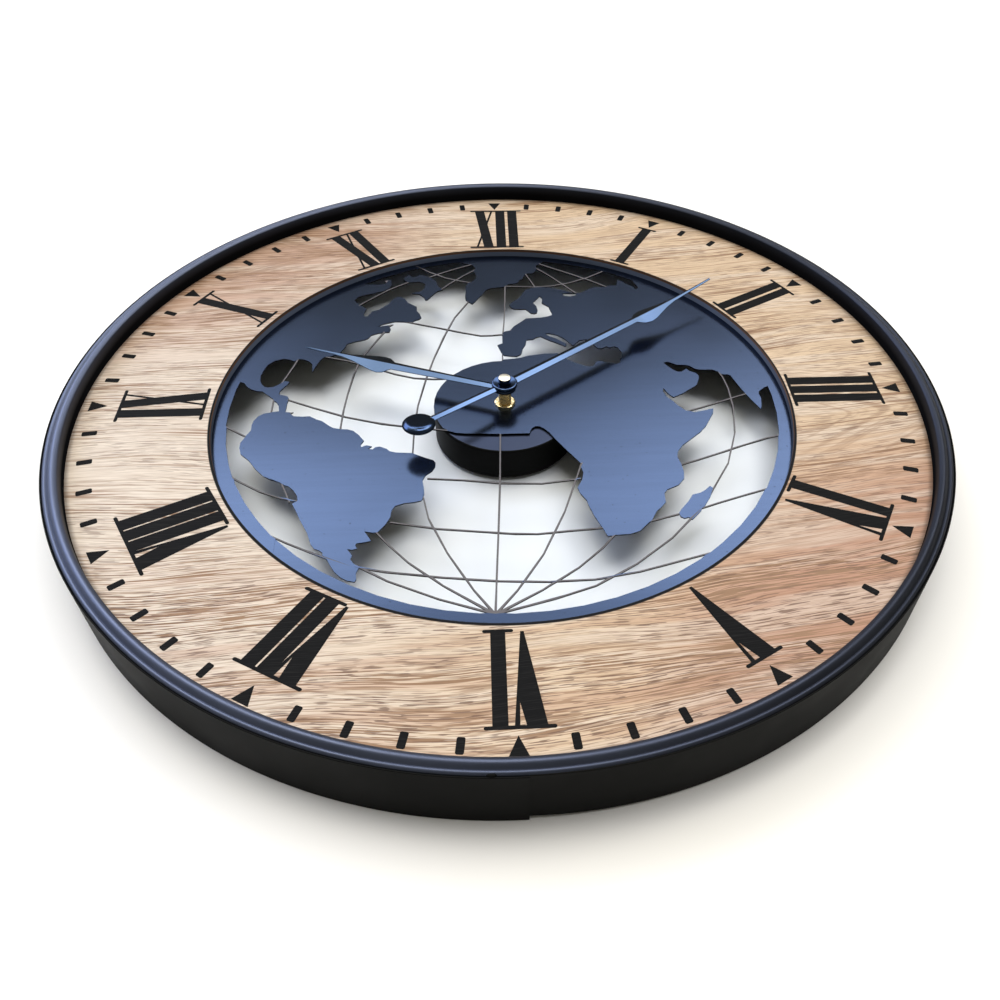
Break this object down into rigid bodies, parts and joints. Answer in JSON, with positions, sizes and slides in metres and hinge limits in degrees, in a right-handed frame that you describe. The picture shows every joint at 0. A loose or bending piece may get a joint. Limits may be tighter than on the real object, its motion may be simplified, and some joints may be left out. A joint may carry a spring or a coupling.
{
  "type": "wall clock",
  "caption": "Round wall clock with a beaded black frame, an oak-faced dial ring, a cut-out world map plate behind it, creased hands and a battery movement.",
  "frame": {"origin": "centre of the hoop in the back plane, where the side band's rear edge lies", "axes": "+Z out of the dial, +Y to 12 o'clock, +X to 3 o'clock"},
  "size_m": [0.6, 0.6, 0.0497],
  "materials": {
    "black_paint": "satin",
    "map_paint": "satin",
    "oak": "matte",
    "brass": "polished",
    "hand_gloss": "gloss",
    "black_plastic": "matte",
    "white_plastic": "matte",
    "rubber": "matte",
    "steel": "brushed",
    "copper": "satin",
    "circuit": "satin",
    "battery_shell": "satin"
  },
  "bodies": {
    "clock_body": {"frame_rim": "black_paint", "side_band": "black_paint", "dial_board": "oak", "map_plate": "map_paint", "movement_cup": "black_paint", "rubber_washer": "rubber", "threaded_bush": "brass", "bush_nut": "brass", "front_case": "black_plastic", "rear_cover": "black_plastic", "train_plate": "white_plastic", "battery": "battery_shell", "positive_contact": "steel", "negative_contact": "steel", "circuit_board": "circuit", "quartz_crystal": "steel", "coil": "copper", "coil_core": "steel", "stator": "steel", "board_clip_1": "steel", "board_clip_2": "steel", "board_clip_3": "steel", "board_clip_4": "steel", "board_clip_5": "steel", "board_clip_6": "steel", "hanger_plate": "steel"},
    "minute_body": {"minute_arbor": "steel", "minute_hand": "hand_gloss", "cap_nut": "brass"},
    "hour_body": {"hour_wheel": "white_plastic", "hour_hand": "hand_gloss"},
    "motion_body": {"motion_wheel": "white_plastic"},
    "setting_body": {"setting_knob": "black_plastic"},
    "seconds_body": {"seconds_wheel": "white_plastic"},
    "third_body": {"third_wheel": "white_plastic"},
    "centre_body": {"centre_wheel": "white_plastic"},
    "intermediate_body": {"intermediate_wheel": "white_plastic"},
    "rotor_body": {"rotor": "steel"}
  },
  "joints": [
    {"name": "minute_turn", "type": "hinge", "parent": "clock_body", "child": "minute_body", "pos_m": [0, 0, 0.044], "axis": [0, 0, -1], "continuous": true},
    {"name": "hour_turn", "type": "hinge", "parent": "clock_body", "child": "hour_body", "pos_m": [0, 0, 0.041], "axis": [0, 0, -1], "continuous": true},
    {"name": "motion_turn", "type": "hinge", "parent": "clock_body", "child": "motion_body", "pos_m": [0.004, 0.00693, 0.019], "axis": [0, 0, -1], "continuous": true},
    {"name": "setting_turn", "type": "hinge", "parent": "clock_body", "child": "setting_body", "pos_m": [0.01286, 0.00537, 0.005], "axis": [0, 0, -1], "continuous": true},
    {"name": "seconds_turn", "type": "hinge", "parent": "clock_body", "child": "seconds_body", "pos_m": [0, 0, 0.012], "axis": [0, 0, -1], "continuous": true},
    {"name": "third_turn", "type": "hinge", "parent": "clock_body", "child": "third_body", "pos_m": [-0.0108, 0, 0.0135], "axis": [0, 0, -1], "continuous": true},
    {"name": "centre_turn", "type": "hinge", "parent": "clock_body", "child": "centre_body", "pos_m": [0, 0, 0.015], "axis": [0, 0, -1], "continuous": true},
    {"name": "intermediate_turn", "type": "hinge", "parent": "clock_body", "child": "intermediate_body", "pos_m": [0.0042, 0.00727, 0.01], "axis": [0, 0, -1], "continuous": true},
    {"name": "rotor_turn", "type": "hinge", "parent": "clock_body", "child": "rotor_body", "pos_m": [0.00295, 0.01437, 0.012], "axis": [0, 0, -1], "continuous": true}
  ],
  "couplings": [
    {"joint": "hour_turn", "follows": "minute_turn", "ratio": 0.083333},
    {"joint": "motion_turn", "follows": "minute_turn", "ratio": -0.33333},
    {"joint": "setting_turn", "follows": "minute_turn", "ratio": 0.66667},
    {"joint": "intermediate_turn", "follows": "rotor_turn", "ratio": -0.2},
    {"joint": "seconds_turn", "follows": "rotor_turn", "ratio": 0.033333},
    {"joint": "third_turn", "follows": "rotor_turn", "ratio": -0.0044444},
    {"joint": "centre_turn", "follows": "rotor_turn", "ratio": 0.00055556}
  ]
}
